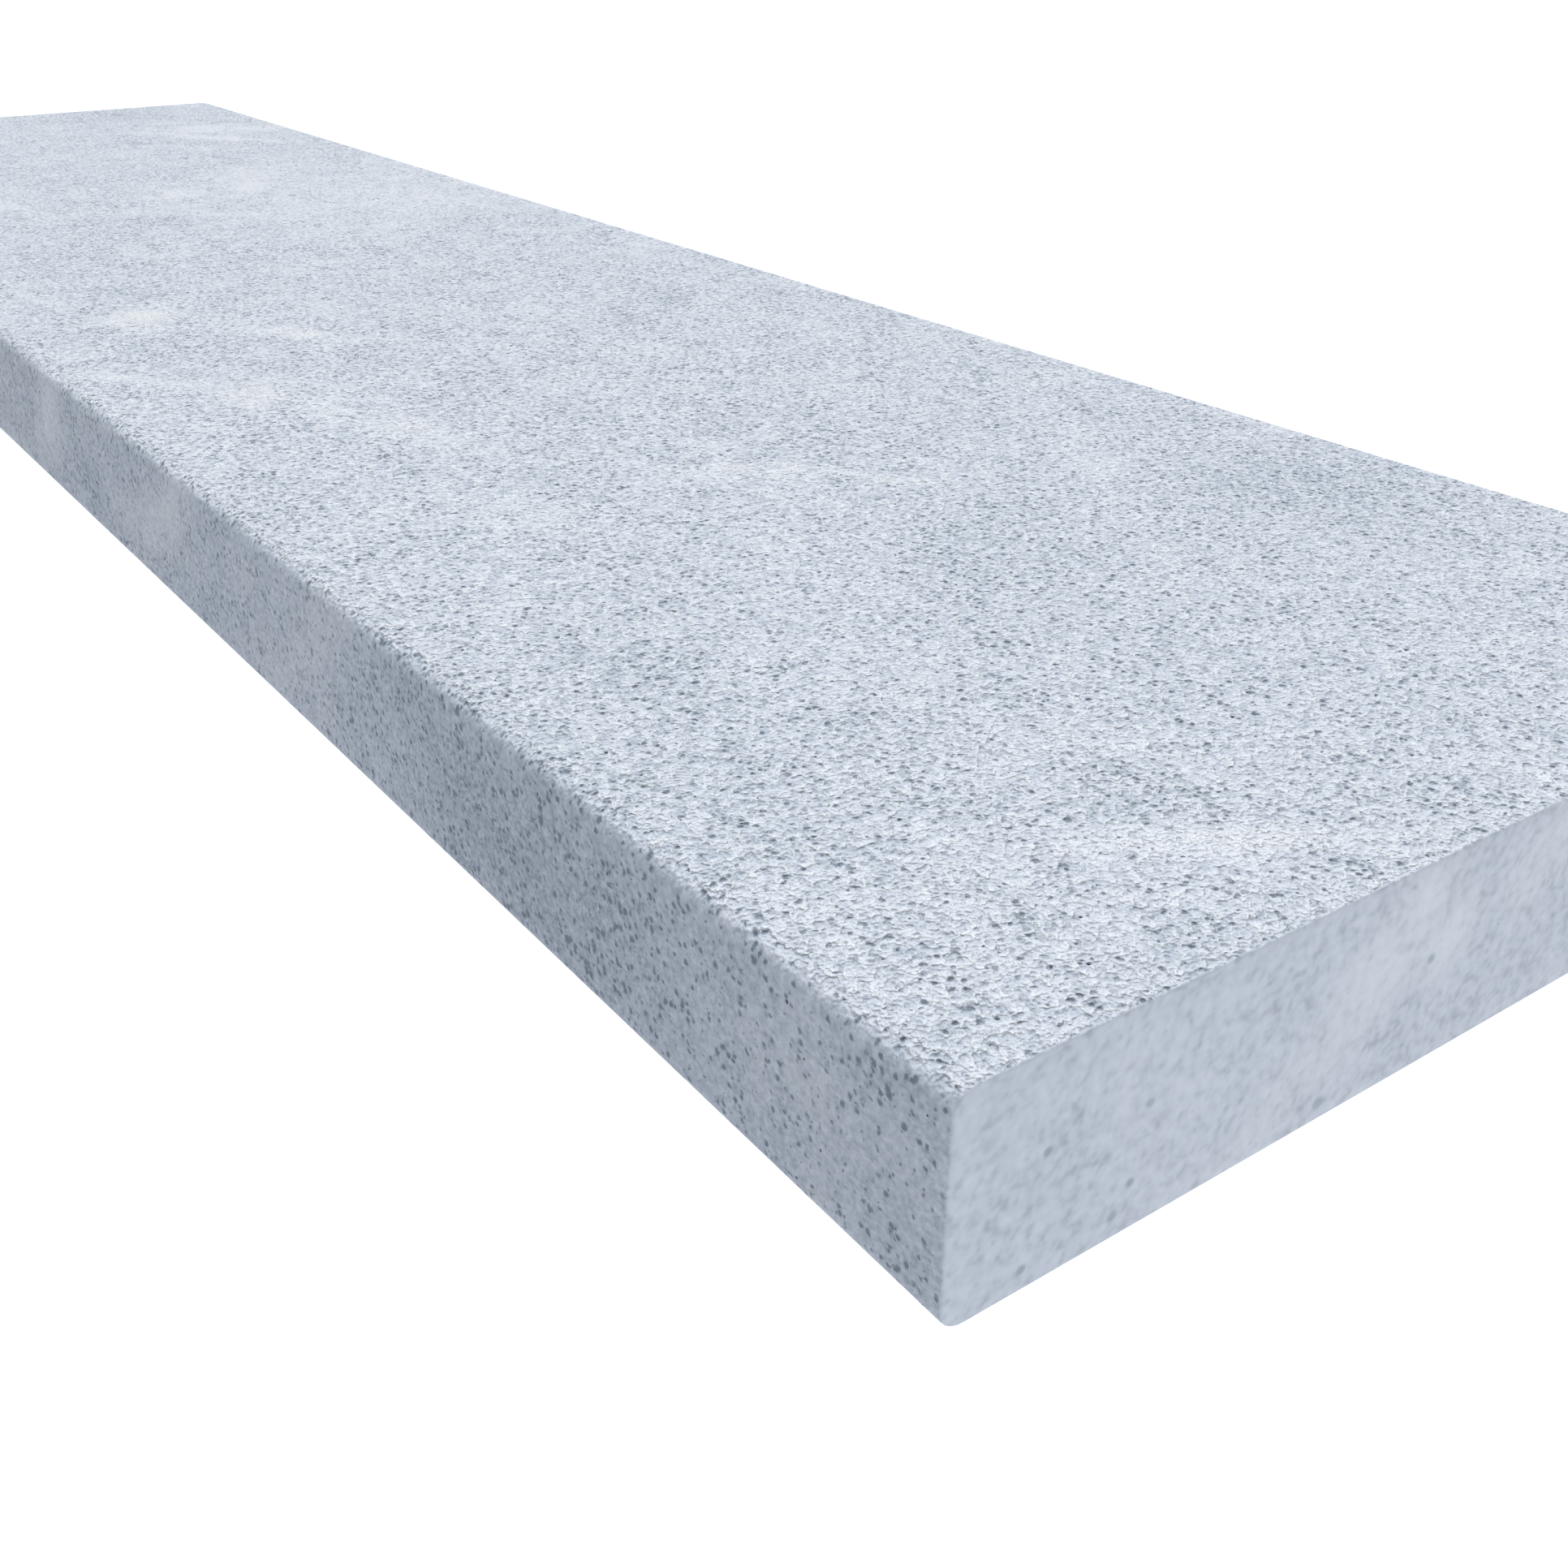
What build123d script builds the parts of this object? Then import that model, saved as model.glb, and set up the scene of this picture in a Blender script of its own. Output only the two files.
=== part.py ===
from build123d import *
import os

# A marble coping slab: a long flat stone with a rounded nosing along its front and eased sawn edges.
# Lengths are in millimetres. +X runs along the slab, -Y is the nosing side and +Z is up.
# The origin is the centre of the underside, so the slab lies on its bed at z = 0.

# Sawn stock
slab_length = 1000.0
slab_width = 250.0
slab_thickness = 40.0

# Radii of the worked edges
upper_nosing_radius = 4.0
lower_nosing_radius = 4.0
eased_edge_radius = 0.5


def nosing_section():
    """The slab's cross-section on the YZ plane: two nosing arcs on the front, a square back."""
    front = -slab_width / 2
    back = slab_width / 2
    upper_tangent = (front + upper_nosing_radius, slab_thickness)
    face_top = (front, slab_thickness - upper_nosing_radius)
    face_bottom = (front, lower_nosing_radius)
    lower_tangent = (front + lower_nosing_radius, 0)

    with BuildSketch(Plane.YZ) as section:
        with BuildLine():
            Polyline(lower_tangent, (back, 0), (back, slab_thickness), upper_tangent)
            RadiusArc(upper_tangent, face_top, -upper_nosing_radius)
            Line(face_top, face_bottom)
            RadiusArc(face_bottom, lower_tangent, -lower_nosing_radius)
        make_face()
    return section.sketch


def sawn_edges(slab):
    """The edges that the saw leaves sharp: the outline of both ends and the two long back edges."""
    end_outlines = slab.faces().filter_by(Axis.X).edges()
    back_face = slab.faces().sort_by(Axis.Y)[-1]
    back_edges = back_face.edges().filter_by(Axis.X)
    return end_outlines + back_edges


def coping_slab():
    """The finished stone. The eased edges run round each end and over the nosing's arcs."""
    sharp_slab = extrude(nosing_section(), amount=slab_length / 2, both=True)
    return fillet(sawn_edges(sharp_slab), eased_edge_radius)


os.makedirs("parts", exist_ok=True)
stone = coping_slab()
stone.label = "coping_slab"
export_step(stone, "parts/coping_slab.step")
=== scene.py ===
import math

import bmesh
import bpy
import numpy as np
from mathutils import Matrix, Vector, noise
from mathutils.geometry import delaunay_2d_cdt
from mathutils.kdtree import KDTree


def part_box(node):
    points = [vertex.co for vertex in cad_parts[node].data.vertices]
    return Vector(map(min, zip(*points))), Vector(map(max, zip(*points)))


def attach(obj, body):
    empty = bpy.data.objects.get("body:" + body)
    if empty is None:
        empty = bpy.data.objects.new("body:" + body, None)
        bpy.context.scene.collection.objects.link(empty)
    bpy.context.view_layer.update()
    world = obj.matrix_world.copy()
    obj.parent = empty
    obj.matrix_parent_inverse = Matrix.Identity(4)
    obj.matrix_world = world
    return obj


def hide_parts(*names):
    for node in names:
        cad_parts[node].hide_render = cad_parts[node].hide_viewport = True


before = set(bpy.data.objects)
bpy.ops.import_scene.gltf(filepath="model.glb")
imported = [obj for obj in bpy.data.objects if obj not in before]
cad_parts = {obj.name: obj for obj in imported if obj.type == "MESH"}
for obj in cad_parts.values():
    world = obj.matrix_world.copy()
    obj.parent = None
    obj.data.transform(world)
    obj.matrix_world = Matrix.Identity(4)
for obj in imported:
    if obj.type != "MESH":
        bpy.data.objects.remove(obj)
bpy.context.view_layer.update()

# Everything is in metres, in the slab's own frame: +X along it, -Y the nosing side, +Z up.
MM = 0.001

# The slab, from the frame
LOW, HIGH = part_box("coping_slab")
LENGTH, WIDTH, THICKNESS = HIGH - LOW
NOSING_RADIUS = 4 * MM
EASED_RADIUS = 0.5 * MM

# How closely the stone's skin is meshed
GROUND_STEP = 3.8 * MM
SAWN_STEP = 9 * MM
END_STEP = 4.5 * MM
NOSING_ROW_STEP = 2.2 * MM
NOSING_ROWS = 6
EASED_ROWS = 3
BLASTED_WAVE = 0.035 * MM
WELD = 0.001 * MM

# The larger pits that blasting opens in the top and the nosing. Depths are shares of a pit's radius.
PIT_CELL = 4.4 * MM
PIT_RADIUS = (0.3 * MM, 0.6 * MM)
PIT_DEPTH = (0.55, 0.95)
PIT_SIDES = 6
PIT_MARGIN = 0.45 * MM
PIT_TRIES = 22500
PIT_SEED = 20
PIT_SIZE_BIAS = 2.2
PIT_STRETCH = (0.78, 1.0)
PIT_REACH = (0.84, 1.12)

# How far each pit's colour goes towards its dark floor, partly the stone's dark spots and partly painted shade
# in the hollow, and the share of pits that are nearly black
PIT_SHADE = (0.2, 0.7)
BLACK_PIT_SHADE = 2.2
BLACK_PIT_SHARE = 0.06

# Pits are rarer on the upper arc and beside it, and smaller below it
PITS_ON_ARC = 0.04
ARC_MARGIN = 1.5 * MM
FRONT_PIT_SIZE = 0.86

# Camera, in the slab's frame: its place, its angles in radians and its lens on a 36 mm sensor
CAMERA_AT = (618.70 * MM, -235.06 * MM, 169.62 * MM)
CAMERA_YAW = -0.6209388
CAMERA_PITCH = -0.4971201
CAMERA_ROLL = 0.001515
CAMERA_LENS = 38.915

# The white studio and its lights. A light has a strength, the way it shines and a softness in degrees.
STUDIO_SIZE = 12.0
STUDIO_WHITE = (0.985, 1.0, 1.035, 1)
SKY_STRENGTH = 0.4
KEY = (3.8, (0.5, -0.17, -0.86), 40)
FILL = (1.73, (-0.97, 0.0, -0.2), 40)

# The marble's colours. Tones run from dark to pale: where each stands, then the colour.
BLASTED_TONES = ((0.2, (0.14, 0.178, 0.23)), (0.36, (0.301, 0.349, 0.415)), (0.5, (0.417, 0.465, 0.538)),
                 (0.66, (0.528, 0.571, 0.638)), (0.82, (0.607, 0.637, 0.687)))
SAWN_TONES = ((0.3, (0.269, 0.305, 0.357)), (0.5, (0.36, 0.401, 0.463)), (0.7, (0.407, 0.448, 0.515)))
SPOT = (0.158, 0.206, 0.245)
# Colour at the pits' deepest points: partly the stone's dark spots, partly painted shade in the hollow
PIT_DARK_AND_SHADE = (0.037, 0.05, 0.066)
VEIN = (0.581, 0.61, 0.639)

# Sizes in the marble: patches, blasted grain and spots, sawn speckle and blots
PATCH_SIZE = 12 * MM
GRAIN_SIZE = 1.4 * MM
SPOT_SPACING = 1.6 * MM
SPOT_RADIUS = (0.05 * MM, 0.88 * MM)
SPECKLE_SIZE = 2.2 * MM
BLOT_SPACING = 2.8 * MM
BLOT_RADIUS = (0.1 * MM, 1.35 * MM)

# Blasting fades in over this width at the sawn edges. It bites less on the front. The blasted colour's
# contrast rises away from the +X end: painted shade of the relief, stronger towards -X.
BLASTED_EDGE = 0.5 * MM
FRONT_WORK = 0.66
ARC_HEIGHTS = (37.6 * MM, 39.9 * MM)
# Gain of the painted relief shade below and above the places along X between which it changes
FAR_SHADE_GAIN = (1.75, 1.25)
FAR_SHADE_PLACES = (150 * MM, 480 * MM)

# Pale veins and clouds in millimetres: where each starts and ends, its width across and up, and its strength
PALE = (
    ((500, -22, 40), (460, -78, 40), 9, 16, 0.8),
    ((497, -25, 38), (470, -40, 10), 14, 10, 0.3),
    ((375, -75, 40), (325, -98, 40), 4, 12, 0.8),
    ((328, 25, 40), (300, 0, 40), 8, 16, 0.8),
    ((305, 5, 40), (272, -28, 40), 16, 16, 0.9),
    ((245, -55, 40), (170, -73, 40), 16, 20, 0.8),
    ((165, -75, 40), (140, -92, 40), 26, 22, 1.05),
    ((150, -88, 40), (105, -117, 40), 10, 20, 0.8),
    ((300, -75, 40), (280, -65, 40), 28, 20, 0.35),
    ((385, -12, 40), (375, -8, 40), 20, 16, 0.3),
    ((290, -117, 40), (275, -115, 40), 20, 12, 0.35),
    ((185, 35, 40), (170, 38, 40), 16, 16, 0.3),
    ((125, -22, 40), (60, -70, 40), 12, 18, 0.7),
    ((122, -28, 40), (110, -22, 40), 18, 16, 0.5),
    ((58, -88, 40), (36, -78, 40), 22, 14, 1.3),
    ((66, -95, 40), (48, -80, 40), 12, 14, 0.8),
    ((28, -96, 40), (-15, -105, 40), 6, 12, 0.8),
    ((0, 7, 40), (-6, 8, 40), 16, 12, 0.5),
    ((-45, -43, 40), (-70, -55, 40), 10, 12, 0.8),
    ((-45, 47, 40), (-60, 48, 40), 14, 12, 0.5),
    ((-108, 71, 40), (-118, 74, 40), 16, 12, 1.05),
    ((-92, -65, 40), (-100, -60, 40), 24, 16, 0.4),
    ((-180, -68, 40), (-195, -60, 40), 24, 16, 0.5),
    ((-160, -5, 40), (-205, 10, 40), 30, 18, 0.9),
    ((-150, 30, 40), (-240, 52, 40), 24, 20, 0.8),
    ((-305, 108, 40), (-385, 55, 40), 16, 20, 0.9),
    ((-368, 122, 40), (-395, 62, 40), 34, 24, 0.9),
    ((-300, 60, 40), (-330, 50, 40), 14, 14, 0.5),
    ((-40, 80, 40), (-230, 60, 40), 190, 60, 0.35),
    ((60, 108, 40), (20, 120, 40), 20, 20, 0.3),
    ((312, -125, 36), (262, -125, 4), 26, 16, 0.4),
    ((222, -125, 34), (140, -125, 8), 30, 22, 0.5),
    ((108, -125, 38), (62, -125, 4), 16, 18, 0.7),
    ((500, -78, 0), (500, -44, 20), 20, 11, 0.6),
    ((500, -54, 12), (500, -22, 42), 20, 19, 0.85),
    ((500, -30, 22), (500, -14, 30), 20, 16, 0.75),
    ((500, -10, 22), (500, 4, 42), 20, 18, 0.4),
    ((500, 40, 10), (500, 90, 34), 20, 16, 0.7),
)

# Darker bodies of stone, told in the same way
DARK = (
    ((440, -102, 40), (335, -90, 40), 26, 16, 0.6),
    ((392, -30, 40), (340, 40, 40), 46, 30, 0.35),
    ((400, 80, 40), (350, 105, 40), 60, 30, 0.8),
    ((15, -78, 40), (-8, -72, 40), 30, 20, 0.8),
    ((-30, -92, 40), (-42, -84, 40), 26, 20, 0.5),
    ((-105, -30, 40), (-135, -20, 40), 42, 24, 0.5),
    ((-340, 35, 40), (-352, 45, 40), 24, 20, 0.8),
    ((-188, 75, 40), (-200, 78, 40), 24, 20, 0.5),
    ((-455, 30, 40), (-495, 90, 40), 90, 30, 0.5),
    ((125, 68, 40), (112, 72, 40), 22, 20, 0.3),
    ((435, -125, 20), (330, -125, 18), 30, 50, 1.1),
    ((385, -125, 12), (340, -125, 22), 30, 34, 0.7),
    ((140, -125, 18), (108, -125, 8), 24, 24, 0.5),
    ((500, -118, 12), (500, -92, 12), 20, 30, 0.4),
    ((500, 10, 14), (500, -18, 12), 20, 14, 0.4),
)

# How the veining flows: the size and reach of each wave in it, and the faint drift of tone all through it
FLOW = ((40 * MM, 6 * MM), (9 * MM, 2.5 * MM))
FLOW_SEED = 7
DRIFT_SIZE = 26 * MM
DRIFT = 0.22

# The end's few distinct dark specks in millimetres: centre and radius
SPECKS = (
    ((500, -89, 22), 1.0),
    ((500, -94, 4.5), 1.2),
    ((500, -91, 9), 0.9),
    ((500, -111, 4), 1.0),
    ((500, -50, 3.5), 1.5),
    ((500, -27, 21), 1.1),
    ((500, -108, 23), 0.9),
)


class Profile:
    """The slab's cross-section as a closed line, measured by the distance along it from the middle
    of the underside: forward, round the nosing, back over the top and down the back."""

    def __init__(self):
        front, back = LOW.y, HIGH.y
        nose, ease = NOSING_RADIUS, EASED_RADIUS
        front_centre, back_centre = front + nose, back - ease
        quarter = math.pi / 2
        # Each stretch: start point, outward normal's start angle, length, radius (0 where straight)
        self.stretches = []
        self.end = 0.0
        self.add("underside_front", (0.0, 0.0), -quarter, -front_centre, 0)
        self.add("lower_nosing", (front_centre, nose), -quarter, nose * quarter, nose)
        self.add("front", (front, nose), -2 * quarter, THICKNESS - 2 * nose, 0)
        self.add("upper_nosing", (front_centre, THICKNESS - nose), 2 * quarter, nose * quarter, nose)
        self.add("top", (front_centre, THICKNESS), quarter, back_centre - front_centre, 0)
        self.add("upper_back", (back_centre, THICKNESS - ease), quarter, ease * quarter, ease)
        self.add("back", (back, THICKNESS - ease), 0.0, THICKNESS - 2 * ease, 0)
        self.add("lower_back", (back_centre, ease), 0.0, ease * quarter, ease)
        self.add("underside_back", (back_centre, 0.0), -quarter, back_centre, 0)

    def add(self, name, anchor, angle, length, radius):
        self.stretches.append((name, self.end, self.end + length, anchor, angle, radius))
        self.end += length

    def span(self, name):
        """Where a stretch starts and ends along the line."""
        return next((start, end) for n, start, end, *_ in self.stretches if n == name)

    def at(self, s, lift):
        """(y, z) of points at distances s along the line, lifted off it by lift, as an array."""
        s, lift = np.broadcast_arrays(np.asarray(s, float), np.asarray(lift, float))
        out = np.zeros((len(s), 2))
        for _, start, end, anchor, angle, radius in self.stretches:
            on = (s >= start) & (s <= end)
            run = s[on] - start
            turn = angle - run / radius if radius else np.full(run.shape, angle)
            normal = np.stack([np.cos(turn), np.sin(turn)], 1)
            along = np.array([math.sin(angle), -math.cos(angle)])
            base = np.array(anchor) + (radius * normal if radius else run[:, None] * along)
            out[on] = base + lift[on, None] * normal
        return out


profile = Profile()
HALF = LENGTH / 2 - EASED_RADIUS
BLASTED = (profile.span("lower_nosing")[0], profile.span("top")[1])


def wave(x, s, scale, seed):
    """Smooth noise from -1 to 1 over the unrolled skin."""
    return noise.noise(Vector((x / scale, s / scale, seed)))


def scatter_pits(rng):
    """Centres and radii of the larger pits on the unrolled blasted skin, crowded where the stone is soft."""
    cells = {}
    found = []
    edge = PIT_RADIUS[1] + PIT_MARGIN
    arc = profile.span("upper_nosing")
    for _ in range(PIT_TRIES):
        x = rng.uniform(-HALF + edge, HALF - edge)
        s = rng.uniform(BLASTED[0] + edge, BLASTED[1] - edge)
        size, chance = rng.random(), rng.random()
        soft = 0.5 + 0.9 * wave(x, s, 26 * MM, 3.7) + 0.6 * wave(x, s, 9 * MM, 8.1)
        if arc[0] - ARC_MARGIN < s < arc[1] + ARC_MARGIN:
            soft *= PITS_ON_ARC
        if chance > soft:
            continue
        radius = PIT_RADIUS[0] + (PIT_RADIUS[1] - PIT_RADIUS[0]) * size ** PIT_SIZE_BIAS
        if s < arc[0]:
            radius *= FRONT_PIT_SIZE
        key = (int(x // PIT_CELL), int(s // PIT_CELL))
        near = [p for i in (-1, 0, 1) for j in (-1, 0, 1) for p in cells.get((key[0] + i, key[1] + j), ())]
        if any(math.hypot(x - p[0], s - p[1]) < 1.35 * (radius + p[2]) + PIT_MARGIN for p in near):
            continue
        cells.setdefault(key, []).append((x, s, radius))
        found.append((x, s, radius))
    return np.array(found)


def pit_finder(pits):
    """A search tree over the pits' centres."""
    tree = KDTree(len(pits))
    for i, (x, s, _) in enumerate(pits):
        tree.insert((x, s, 0), i)
    tree.balance()
    return tree


def steps(start, end, step):
    """Evenly spaced values from start to end, both included, about a step apart."""
    return np.linspace(start, end, max(2, round(abs(end - start) / step) + 1))


def lattice(x_range, s_range, step, rng, jitter):
    """Points of a jittered hexagonal lattice that keeps half a step clear of the range's sides."""
    points = []
    row_step = step * math.sqrt(3) / 2
    rows = steps(s_range[0] + 0.6 * row_step, s_range[1] - 0.6 * row_step, row_step)
    for i, s in enumerate(rows):
        shift = step / 2 * (i % 2)
        xs = np.arange(x_range[0] + 0.6 * step + shift, x_range[1] - 0.6 * step, step)
        points.append(np.stack([xs, np.full(xs.shape, s)], 1))
    points = np.concatenate(points)
    return points + rng.uniform(-jitter, jitter, points.shape) * step


def row_places():
    """Distances along the profile that carry a straight row of points: each arc's rows and tangents."""
    rows = {}
    for name, count in (("lower_nosing", NOSING_ROWS), ("upper_nosing", NOSING_ROWS),
                        ("upper_back", EASED_ROWS), ("lower_back", EASED_ROWS)):
        start, end = profile.span(name)
        rows[name] = np.linspace(start, end, count + 1)
    return rows


def end_column(rows):
    """Distances along the profile of the points on each end's outline."""
    places = [np.concatenate(list(rows.values()))]
    for name, step in (("front", GROUND_STEP), ("top", GROUND_STEP), ("back", GROUND_STEP),
                       ("underside_front", SAWN_STEP), ("underside_back", SAWN_STEP)):
        places.append(steps(*profile.span(name), step))
    return np.unique(np.round(np.concatenate(places), 7))


def beside_pits(points, pits, tree):
    """Keeps the points that lie clear of every pit and its rim."""
    keep = [all(math.hypot(x - pits[i][0], s - pits[i][1]) > 1.3 * pits[i][2] + 0.5 * PIT_MARGIN
                for _, i, _ in tree.find_n((x, s, 0), 3))
            for x, s in points]
    return points[np.array(keep)]


def misses_pit(start, end, pit):
    """True if a row's stretch from start to end stays outside a pit."""
    x = min(max(pit[0], start[0]), end[0])
    return math.hypot(x - pit[0], start[1] - pit[1]) > 1.25 * pit[2]


def row_edges(points, pits, tree):
    """Index pairs that join up each straight row of points, wherever no pit breaks the row."""
    edges = []
    for a in range(len(points) - 1):
        start, end = points[a], points[a + 1]
        if start[1] != end[1] or end[0] - start[0] > 1.1 * SAWN_STEP:
            continue
        middle = ((start[0] + end[0]) / 2, start[1], 0)
        if all(misses_pit(start, end, pits[i]) for _, i, _ in tree.find_n(middle, 3)):
            edges.append((a, a + 1))
    return edges


def skin_points(rng, pits):
    """The unrolled skin's points apart from the pits: end columns, rows, blasted ground, sawn faces."""
    tree = pit_finder(pits)
    places = row_places()
    column = end_column(places)
    ends = np.concatenate([np.stack([np.full(column.shape, x), column], 1) for x in (-HALF, HALF)])

    rows = []
    for name, heights in places.items():
        step = NOSING_ROW_STEP if "nosing" in name else SAWN_STEP / 2
        xs = steps(-HALF, HALF, step)[1:-1]
        rows += [np.stack([xs, np.full(xs.shape, s)], 1) for s in heights]
    rows = beside_pits(np.concatenate(rows), pits, tree)
    edges = row_edges(rows, pits, tree)

    ground = [lattice((-HALF, HALF), profile.span(name), GROUND_STEP, rng, 0.22) for name in ("front", "top")]
    ground = beside_pits(np.concatenate(ground), pits, tree)

    sawn = [lattice((-HALF, HALF), profile.span(name), SAWN_STEP, rng, 0.15)
            for name in ("back", "underside_front", "underside_back")]
    seam = steps(-HALF, HALF, SAWN_STEP)[1:-1]
    sawn += [np.stack([seam, np.full(seam.shape, s)], 1) for s in (0.0, profile.end)]
    return column, ends, rows, edges, ground, np.concatenate(sawn)


def pit_points(rng, pits):
    """Each pit's rim points and floor point, how deep and how dark each is, and the rim's edges."""
    points, depth, shade, rims = [], [], [], []
    for x, s, radius in pits:
        first = len(points)
        turn = rng.uniform(0, 2 * math.pi)
        stretch = rng.uniform(*PIT_STRETCH)
        lie = rng.uniform(0, math.pi)
        for k in range(PIT_SIDES):
            angle = turn + 2 * math.pi * (k + rng.uniform(-0.16, 0.16)) / PIT_SIDES
            reach = radius * rng.uniform(*PIT_REACH)
            a, b = reach * math.cos(angle - lie), stretch * reach * math.sin(angle - lie)
            points.append((x + a * math.cos(lie) - b * math.sin(lie),
                           s + a * math.sin(lie) + b * math.cos(lie)))
            depth.append(0.0)
            shade.append(0.0)
            rims.append((first + k, first + (k + 1) % PIT_SIDES))
        points.append((x + rng.uniform(-0.2, 0.2) * radius, s + rng.uniform(-0.2, 0.2) * radius))
        depth.append(radius * rng.uniform(*PIT_DEPTH))
        black = rng.random() < BLACK_PIT_SHARE
        shade.append(BLACK_PIT_SHADE if black else rng.uniform(*PIT_SHADE))
    return np.array(points), np.array(depth), np.array(shade), rims


def skin(rng):
    """The skin's triangles rolled into place: places, pit shades, faces and the end columns' indices."""
    pits = scatter_pits(rng)
    column, ends, rows, edges, ground, sawn = skin_points(rng, pits)
    pitted, depth, shade, rims = pit_points(rng, pits)
    flat = np.concatenate([ends, rows, ground, sawn, pitted])
    first_row, first_ground, first_pit = len(ends), len(ends) + len(rows), len(flat) - len(pitted)
    kept_edges = [(a + first_row, b + first_row) for a, b in edges]
    kept_edges += [(a + first_pit, b + first_pit) for a, b in rims]
    out, _, faces, origin, *_ = delaunay_2d_cdt([Vector(p) for p in flat], kept_edges, [], 0, 1e-7)
    out = np.array([tuple(v) for v in out])
    source = np.array([o[0] for o in origin])

    lift = np.zeros(len(flat))
    for i in range(first_ground, first_ground + len(ground)):
        x, s = flat[i]
        lift[i] = BLASTED_WAVE * (wave(x, s, 14 * MM, 1.3) + 0.8 * wave(x, s, 4 * MM, 5.9))
    lift[first_pit:] -= depth
    dark = np.zeros(len(flat))
    dark[first_pit:] = shade

    placed = np.column_stack([out[:, 0], profile.at(out[:, 1], lift[source])])
    at = {o: i for i, o in enumerate(source) if o < len(ends)}
    outlines = [[at[offset + k] for k in range(len(column) - 1)] for offset in (0, len(column))]
    print("pits", len(pits), "skin points", len(out))
    return placed, dark[source], [tuple(f) for f in faces], column[:-1], outlines


def flowed(places):
    """The places shifted by slow and quick waves, so that what is drawn there flows like veining."""
    noise.seed_set(FLOW_SEED)
    for size, reach in FLOW:
        places = places + reach * np.array([noise.noise_vector(Vector(place) / size) for place in places])
    return places


def streak(places, start, end, across, up, strength):
    """How much of a streak from start to end is at each place; it fades out at its sides."""
    start, end = np.array(start) * MM, np.array(end) * MM
    along = (end - start) / np.linalg.norm(end - start)
    side = np.cross((0, 0, 1), along)
    side /= np.linalg.norm(side)
    away = places - (start + end) / 2
    reach = np.stack([away @ along / np.linalg.norm(end - start), away @ side / (across * MM),
                      away @ np.cross(along, side) / (up * MM)]) / 0.75
    rise = np.clip(1 - np.linalg.norm(reach, axis=0), 0, 1)
    return strength * rise * rise * (3 - 2 * rise)


def cloudiness(places):
    """How pale, above 0, or dark, below 0, the stone is at each place."""
    flowing = flowed(places)
    pale = np.max([streak(flowing, *parts) for parts in PALE], axis=0)
    dark = np.max([streak(flowing, *parts) for parts in DARK], axis=0)
    drift = [noise.fractal(Vector(place) / DRIFT_SIZE, 0.8, 2.0, 3) for place in flowing]
    return pale - dark + DRIFT * np.array(drift)


def end_cap(outline, rng):
    """Fills the flat of an end: its points, outline first, and the triangles between them."""
    y = np.arange(LOW.y + 4 * MM, HIGH.y - 3 * MM, END_STEP)
    z = np.arange(4 * MM, THICKNESS - 3 * MM, END_STEP)
    grid = np.stack(np.meshgrid(y, z), -1).reshape(-1, 2)
    grid += rng.uniform(-0.8 * MM, 0.8 * MM, grid.shape)
    points = np.concatenate([outline, grid])
    loop = [(k, (k + 1) % len(outline)) for k in range(len(outline))]
    _, _, faces, origin, *_ = delaunay_2d_cdt([Vector(p) for p in points], loop, [], 0, 1e-8)
    back = [o[0] for o in origin]
    return points, [tuple(back[v] for v in f) for f in faces]


def stone_mesh():
    """The slab's whole surface as one closed mesh: its pitted skin, eased edges and flat ends."""
    rng = np.random.default_rng(PIT_SEED)
    placed, dark, polygons, column, outlines = skin(rng)
    vertices, shades = [placed], [dark]
    count = len(placed)
    for side, ring in zip((-1, 1), outlines):
        # The eased edge: the outline drawn in step by step as it runs out to the end's plane
        for step in range(1, EASED_ROWS + 1):
            angle = math.pi / 2 * step / EASED_ROWS
            x = side * (HALF + EASED_RADIUS * math.sin(angle))
            edge = profile.at(column, -EASED_RADIUS * (1 - math.cos(angle)))
            vertices.append(np.column_stack([np.full(len(edge), x), edge]))
            new = list(range(count, count + len(edge)))
            count += len(edge)
            for k in range(len(ring)):
                j = (k + 1) % len(ring)
                polygons.append((ring[k], ring[j], new[j], new[k]))
            ring = new
        points, faces = end_cap(edge, rng)
        inner = points[len(ring):]
        vertices.append(np.column_stack([np.full(len(inner), x), inner]))
        index = ring + list(range(count, count + len(inner)))
        count += len(inner)
        polygons += [tuple(index[v] for v in f) for f in faces]
    shades.append(np.zeros(count - len(placed)))

    places = np.concatenate(vertices)
    mesh = bpy.data.meshes.new("coping_stone")
    mesh.from_pydata(places.tolist(), [], polygons)
    for name, values in (("pit", np.concatenate(shades)), ("cloud", cloudiness(places))):
        layer = mesh.attributes.new(name, "FLOAT", "POINT")
        layer.data.foreach_set("value", values.astype(np.float32))
    return mesh


def finish_mesh(mesh):
    """Joins the seams, turns all faces outward and keeps each pit's rim crisp."""
    form = bmesh.new()
    form.from_mesh(mesh)
    bmesh.ops.remove_doubles(form, verts=form.verts, dist=WELD)
    bmesh.ops.recalc_face_normals(form, faces=form.faces)
    pit = form.verts.layers.float["pit"]
    in_pit = {face for face in form.faces if any(v[pit] > 0 for v in face.verts)}
    for face in form.faces:
        face.smooth = True
    for edge in form.edges:
        a, b = edge.link_faces
        edge.smooth = (a in in_pit) == (b in in_pit)
    form.to_mesh(mesh)
    triangles = sum(len(face.verts) - 2 for face in form.faces)
    print("triangles", triangles, "open edges", sum(len(e.link_faces) != 2 for e in form.edges))
    form.free()


def coping_stone():
    """The dressed stone, which stands for the plain slab."""
    mesh = stone_mesh()
    finish_mesh(mesh)
    mesh.materials.append(marble())
    stone = bpy.data.objects.new("coping_stone", mesh)
    bpy.context.scene.collection.objects.link(stone)
    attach(stone, "root")
    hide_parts("coping_slab")


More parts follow.
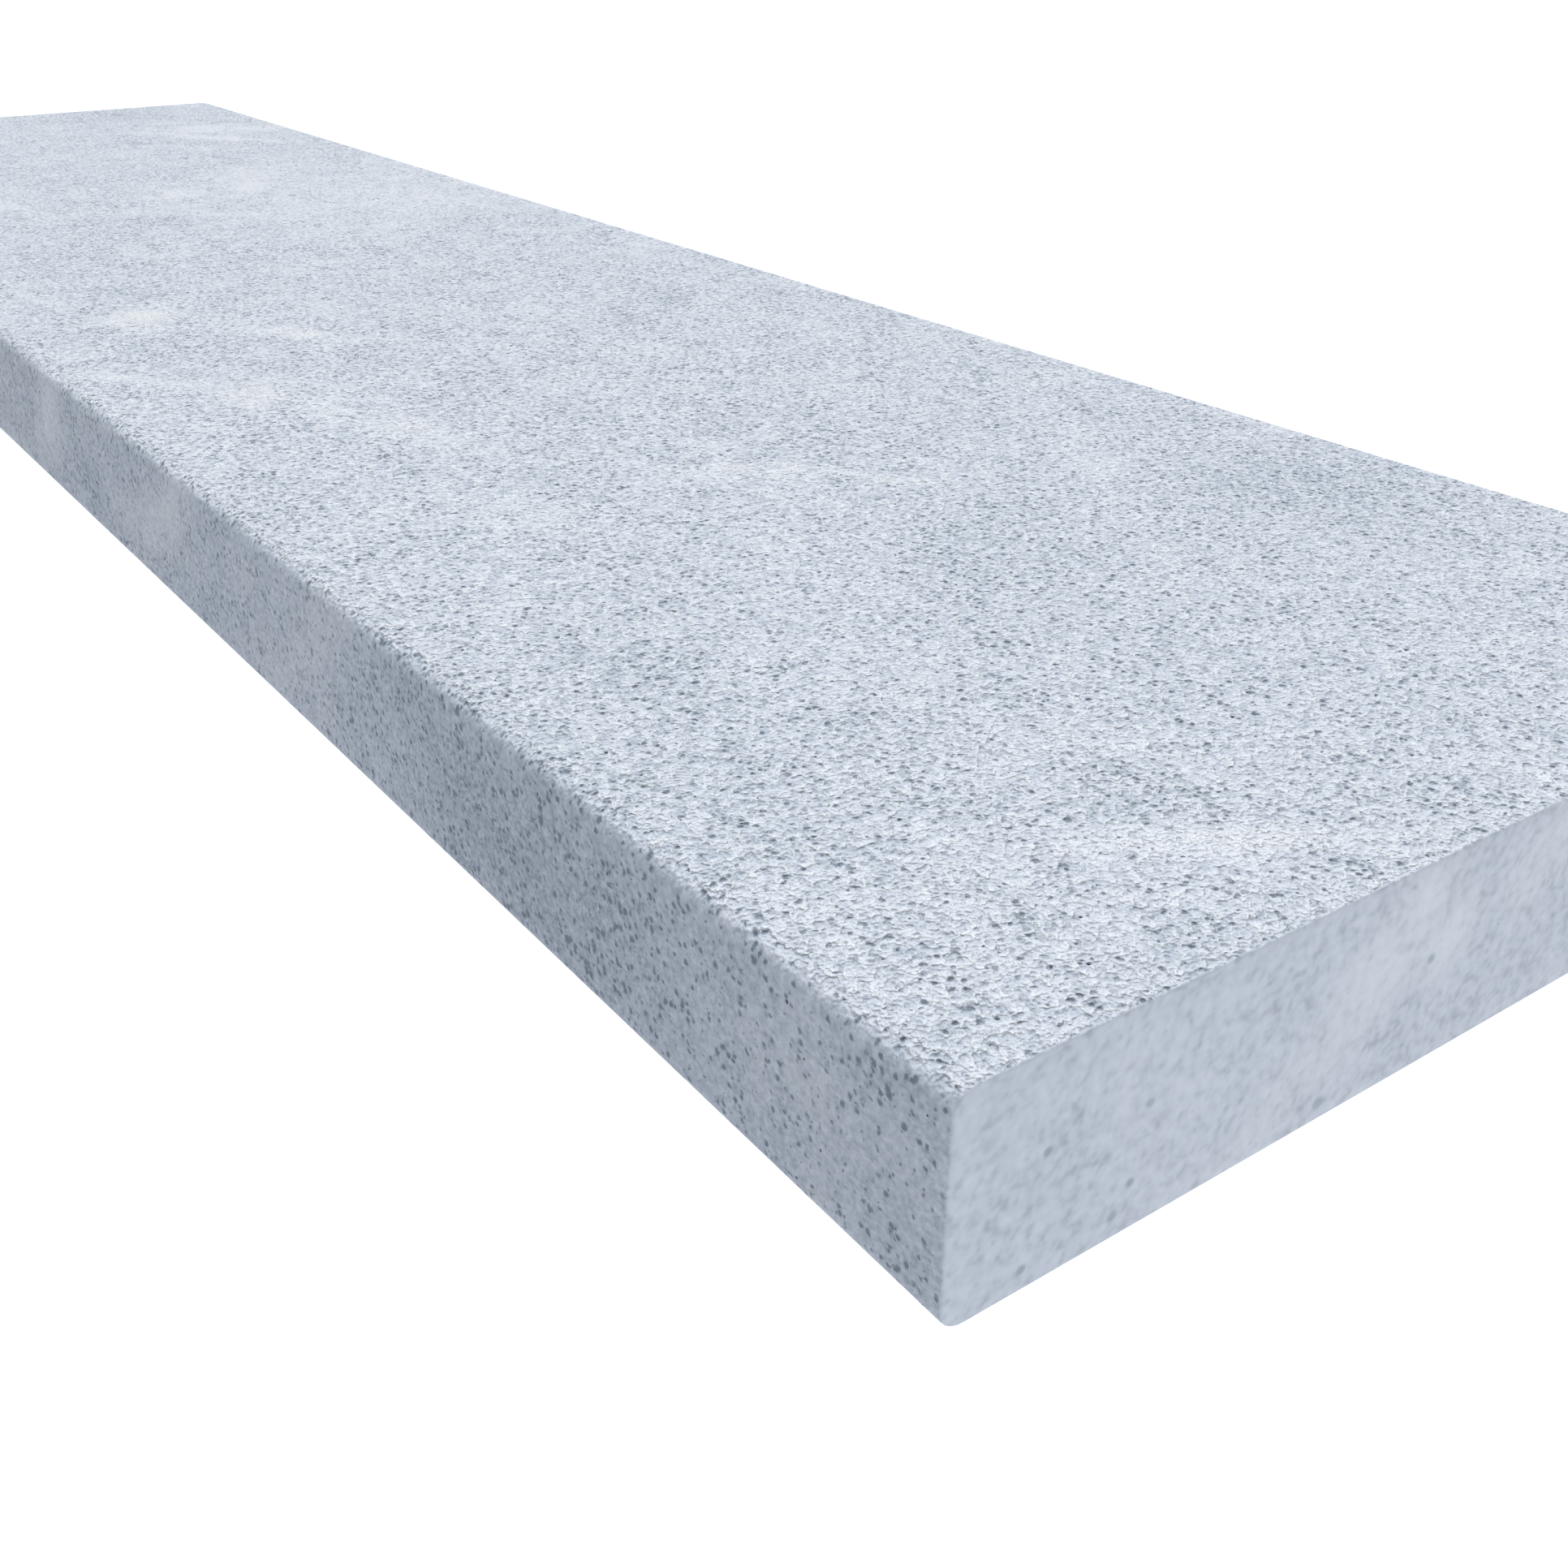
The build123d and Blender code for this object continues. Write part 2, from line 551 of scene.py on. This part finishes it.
class Graph:
    """Adds nodes to a material and joins them. A value may be a number, a tuple or another node's output."""

    def __init__(self, tree):
        self.tree = tree

    def add(self, kind, **settings):
        node = self.tree.nodes.new(kind)
        for name, value in settings.items():
            setattr(node, name, value)
        return node

    def feed(self, socket, value):
        if isinstance(value, bpy.types.NodeSocket):
            self.tree.links.new(value, socket)
        else:
            socket.default_value = value

    def maths(self, operation, *values):
        node = self.add("ShaderNodeMath", operation=operation)
        for socket, value in zip(node.inputs, values):
            self.feed(socket, value)
        return node.outputs["Value"]

    def total(self, *values):
        result = values[0]
        for value in values[1:]:
            result = self.maths("ADD", result, value)
        return result

    def product(self, *values):
        result = values[0]
        for value in values[1:]:
            result = self.maths("MULTIPLY", result, value)
        return result

    def vectors(self, operation, *values):
        node = self.add("ShaderNodeVectorMath", operation=operation)
        for socket, value in zip(node.inputs, values):
            self.feed(socket, value)
        return node.outputs["Value" if operation == "LENGTH" else "Vector"]

    def ramp(self, value, start, end, low=0.0, high=1.0, smooth=True):
        """low up to start, high from end on, and a smooth change between."""
        kind = "SMOOTHSTEP" if smooth else "LINEAR"
        node = self.add("ShaderNodeMapRange", interpolation_type=kind)
        for name, given in (("Value", value), ("From Min", start), ("From Max", end),
                            ("To Min", low), ("To Max", high)):
            self.feed(node.inputs[name], given)
        return node.outputs["Result"]

    def mix(self, share, first, second):
        """A colour between two, each given as a tuple of three numbers or as another node's output."""
        node = self.add("ShaderNodeMix", data_type="RGBA")
        for name, value in (("Factor_Float", share), ("A_Color", first), ("B_Color", second)):
            socket = next(s for s in node.inputs if s.identifier == name)
            self.feed(socket, (*value, 1) if isinstance(value, tuple) else value)
        return next(s for s in node.outputs if s.identifier == "Result_Color")

    def cloud(self, place, size, detail=2.0, rough=0.5):
        """Noise from 0 to 1, about 0.5 on average, with patches of about the given size."""
        node = self.add("ShaderNodeTexNoise")
        for name, value in (("Vector", place), ("Scale", 1 / size), ("Detail", detail), ("Roughness", rough)):
            self.feed(node.inputs[name], value)
        return node.outputs["Fac"]

    def spots(self, place, spacing, smallest, largest):
        """Round spots scattered through the stone: how far a place is from the nearest, in its radii."""
        cells = self.add("ShaderNodeTexVoronoi")
        self.feed(cells.inputs["Vector"], place)
        cells.inputs["Scale"].default_value = 1 / spacing
        parts = self.add("ShaderNodeSeparateColor")
        self.feed(parts.inputs["Color"], cells.outputs["Color"])
        radius = self.ramp(parts.outputs["Red"], 0, 1, smallest / spacing, largest / spacing, smooth=False)
        return self.maths("DIVIDE", cells.outputs["Distance"], radius)

    def tones(self, value, stops):
        """A colour looked up by value along stops of position and colour."""
        node = self.add("ShaderNodeValToRGB")
        elements = node.color_ramp.elements
        for element in list(elements)[1:]:
            elements.remove(element)
        elements[0].position, elements[0].color = stops[0][0], (*stops[0][1], 1)
        for position, colour in stops[1:]:
            elements.new(position).color = (*colour, 1)
        self.feed(node.inputs["Fac"], value)
        return node.outputs["Color"]


def bent(graph, place, size, reach, detail=2.0):
    """The place shifted a little by noise, so that what is drawn there gets an uneven outline."""
    node = graph.add("ShaderNodeTexNoise")
    graph.feed(node.inputs["Vector"], place)
    node.inputs["Scale"].default_value = 1 / size
    node.inputs["Detail"].default_value = detail
    centred = graph.vectors("SUBTRACT", node.outputs["Color"], (0.5, 0.5, 0.5))
    scaled = graph.vectors("MULTIPLY", centred, (2 * reach, 2 * reach, 2 * reach))
    return graph.vectors("ADD", place, scaled)


def blasted_share(graph, place):
    """1 on the blasted top and nosing and 0 on the sawn faces, then how hard the blasting worked at
    each height and how strong the painted relief shade is along the slab."""
    parts = graph.add("ShaderNodeSeparateXYZ")
    graph.feed(parts.inputs["Vector"], bent(graph, place, 4 * MM, 0.35 * MM, 1.0))
    x, y, z = (parts.outputs[axis] for axis in "XYZ")
    from_end = graph.maths("SUBTRACT", LENGTH / 2, graph.maths("ABSOLUTE", x))
    from_back = graph.maths("SUBTRACT", HIGH.y, y)
    masks = [graph.ramp(gap, 0.0, BLASTED_EDGE) for gap in (from_end, from_back, z)]
    blasted = graph.maths("MINIMUM", masks[0], graph.maths("MINIMUM", masks[1], masks[2]))
    worked = graph.ramp(z, *ARC_HEIGHTS, FRONT_WORK, 1.0)
    far_shade_gain = graph.ramp(x, *FAR_SHADE_PLACES, *FAR_SHADE_GAIN)
    return blasted, worked, far_shade_gain


def specks(graph, place):
    """1 in the middle of each of the end's distinct specks, fading to 0 at its rim."""
    share = 0.0
    for centre, radius in SPECKS:
        away = graph.vectors("LENGTH", graph.vectors("SUBTRACT", place, tuple(Vector(centre) * MM)))
        share = graph.maths("MAXIMUM", share, graph.ramp(away, 0.4 * radius * MM, 1.2 * radius * MM, 0.6, 0.0))
    return share


def marble():
    """Blue-grey marble: spots and pale veins run all through it, and blasting opens the spots as pits; their
    darkness is partly the stone's own and partly painted shade.
    """
    material = bpy.data.materials.new("marble")
    material.use_nodes = True
    graph = Graph(material.node_tree)
    place = graph.add("ShaderNodeTexCoord").outputs["Object"]
    blasted, worked, far_shade_gain = blasted_share(graph, place)
    patches = graph.cloud(place, PATCH_SIZE, 2, 0.6)
    cloud = graph.add("ShaderNodeAttribute", attribute_name="cloud").outputs["Fac"]
    cloud = graph.product(cloud, graph.ramp(patches, 0.3, 0.7, 0.7, 1.3))
    pale = graph.maths("MAXIMUM", cloud, 0.0)
    veined = graph.product(cloud, 0.13, worked)

    # Colour of the blasted faces
    # This noise is also the relief's height: its dark and pale in the colour are partly the stone's own grain,
    # partly painted shade in the hollows and painted highlight on the ridges
    grain_and_relief = graph.cloud(place, GRAIN_SIZE, 1.5, 0.8)
    crowding = graph.total(graph.ramp(patches, 0.35, 0.65, 0.9, 1.1), graph.product(pale, 0.4))
    spots = graph.spots(bent(graph, place, 0.9 * MM, 0.5 * MM, 1.0), SPOT_SPACING, *SPOT_RADIUS)
    spots = graph.product(spots, crowding)
    # The grain's contrast, raised away from the +X end by painted relief shade
    contrast = graph.product(graph.ramp(patches, 0.3, 0.7, 0.95, 0.7), worked, worked, far_shade_gain)
    tone = graph.total(graph.product(graph.total(grain_and_relief, -0.5), contrast), veined, graph.product(patches, 0.15))
    # Spots darken the tone where the relief sinks into them: partly the stone's dark spots, partly painted
    # shade in these small hollows
    tone = graph.total(tone, graph.ramp(spots, 0.1, 1.15, -0.29, 0.04), graph.product(worked, 0.445), 0.04)
    blasted_colour = graph.mix(graph.product(pale, 0.47), graph.tones(tone, BLASTED_TONES), VEIN)

    # Colour of the sawn faces
    speckle = graph.cloud(place, SPECKLE_SIZE, 1, 0.7)
    blots = graph.spots(bent(graph, place, 3 * MM, 0.8 * MM, 1.0), BLOT_SPACING, *BLOT_RADIUS)
    blots = graph.product(blots, crowding, crowding)
    tone = graph.total(graph.product(speckle, 0.75), graph.product(patches, 0.25), veined, 0.03)
    sawn_colour = graph.mix(graph.product(pale, 0.35), graph.tones(tone, SAWN_TONES), VEIN)
    sawn_colour = graph.mix(graph.ramp(blots, 0.1, 1.1, 0.26, 0.0), sawn_colour, SPOT)
    sawn_colour = graph.mix(specks(graph, place), sawn_colour, SPOT)

    colour = graph.mix(blasted, sawn_colour, blasted_colour)
    # Pits darken towards their deepest point: painted shade in the hollow, on top of the stone's own dark
    # spots
    pit = graph.add("ShaderNodeAttribute", attribute_name="pit").outputs["Fac"]
    colour = graph.mix(pit, colour, PIT_DARK_AND_SHADE)

    # Relief in millimetres
    bump = graph.add("ShaderNodeBump")
    relief = graph.total(graph.product(grain_and_relief, 2.2), graph.ramp(spots, 0.0, 1.1, -0.6, 0.0))
    graph.feed(bump.inputs["Height"], relief)
    graph.feed(bump.inputs["Strength"], graph.product(blasted, worked, worked, worked))
    bump.inputs["Distance"].default_value = MM

    shader = material.node_tree.nodes["Principled BSDF"]
    graph.feed(shader.inputs["Base Color"], colour)
    graph.feed(shader.inputs["Roughness"], graph.ramp(blasted, 0, 1, 0.45, 0.78, smooth=False))
    graph.feed(shader.inputs["Normal"], bump.outputs["Normal"])
    shader.inputs["Specular IOR Level"].default_value = 0.35
    return material


def stage_piece(name, mesh, albedo, glow):
    """A part of the white studio: a mesh with a plain matt material that also glows a little."""
    piece = bpy.data.objects.new(name, mesh)
    bpy.context.scene.collection.objects.link(piece)
    material = bpy.data.materials.new(name)
    material.use_nodes = True
    shader = material.node_tree.nodes["Principled BSDF"]
    shader.inputs["Base Color"].default_value = (albedo, albedo, 1.04 * albedo, 1)
    shader.inputs["Roughness"].default_value = 0.9
    shader.inputs["Specular IOR Level"].default_value = 0.1
    shader.inputs["Emission Color"].default_value = STUDIO_WHITE
    shader.inputs["Emission Strength"].default_value = glow
    mesh.materials.append(material)
    return piece


def floor():
    """The pale floor that the slab lies on."""
    mesh = bpy.data.meshes.new("floor")
    corners = [(-STUDIO_SIZE, -STUDIO_SIZE, 0), (STUDIO_SIZE, -STUDIO_SIZE, 0),
               (STUDIO_SIZE, STUDIO_SIZE, 0), (-STUDIO_SIZE, STUDIO_SIZE, 0)]
    mesh.from_pydata(corners, [], [(0, 1, 2, 3)])
    stage_piece("floor", mesh, 0.04, 1.07)


def backdrop():
    """A white dome round the floor, seen by the camera alone: it neither lights nor shades the stone."""
    mesh = bpy.data.meshes.new("backdrop")
    form = bmesh.new()
    bmesh.ops.create_uvsphere(form, u_segments=48, v_segments=24, radius=0.95 * STUDIO_SIZE)
    below = [v for v in form.verts if v.co.z < -MM]
    bmesh.ops.delete(form, geom=below, context="VERTS")
    form.to_mesh(mesh)
    form.free()
    dome = stage_piece("backdrop", mesh, 0.0, 1.0)
    dome.visible_diffuse = False
    dome.visible_glossy = False
    dome.visible_transmission = False
    dome.visible_shadow = False


def lights():
    """An even white sky, a key light from behind and a low fill on the near end."""
    world = bpy.data.worlds.new("studio")
    world.use_nodes = True
    world.node_tree.nodes["Background"].inputs["Color"].default_value = (1, 1, 1, 1)
    world.node_tree.nodes["Background"].inputs["Strength"].default_value = SKY_STRENGTH
    bpy.context.scene.world = world

    for name, (strength, towards, softness) in (("key", KEY), ("fill", FILL)):
        data = bpy.data.lights.new(name, "SUN")
        data.energy = strength
        data.angle = math.radians(softness)
        light = bpy.data.objects.new(name, data)
        bpy.context.scene.collection.objects.link(light)
        light.rotation_euler = Vector(towards).to_track_quat("-Z", "Y").to_euler()


def camera():
    """The viewpoint, just above the slab's +X end."""
    data = bpy.data.cameras.new("camera")
    data.lens = CAMERA_LENS
    data.sensor_width = 36
    data.clip_start = 0.01
    cam = bpy.data.objects.new("camera", data)
    bpy.context.scene.collection.objects.link(cam)
    yaw, pitch, roll = CAMERA_YAW, CAMERA_PITCH, CAMERA_ROLL
    forward = Vector((-math.cos(yaw) * math.cos(pitch), -math.sin(yaw) * math.cos(pitch), math.sin(pitch)))
    right = forward.cross(Vector((0, 0, 1))).normalized()
    up = right.cross(forward)
    tilted_right = right * math.cos(roll) + up * math.sin(roll)
    tilted_up = up * math.cos(roll) - right * math.sin(roll)
    axes = Matrix((tilted_right, tilted_up, -forward)).transposed().to_4x4()
    cam.matrix_world = Matrix.Translation(CAMERA_AT) @ axes
    bpy.context.scene.camera = cam


coping_stone()
floor()
backdrop()
lights()
camera()
bpy.context.scene.view_settings.view_transform = "Standard"
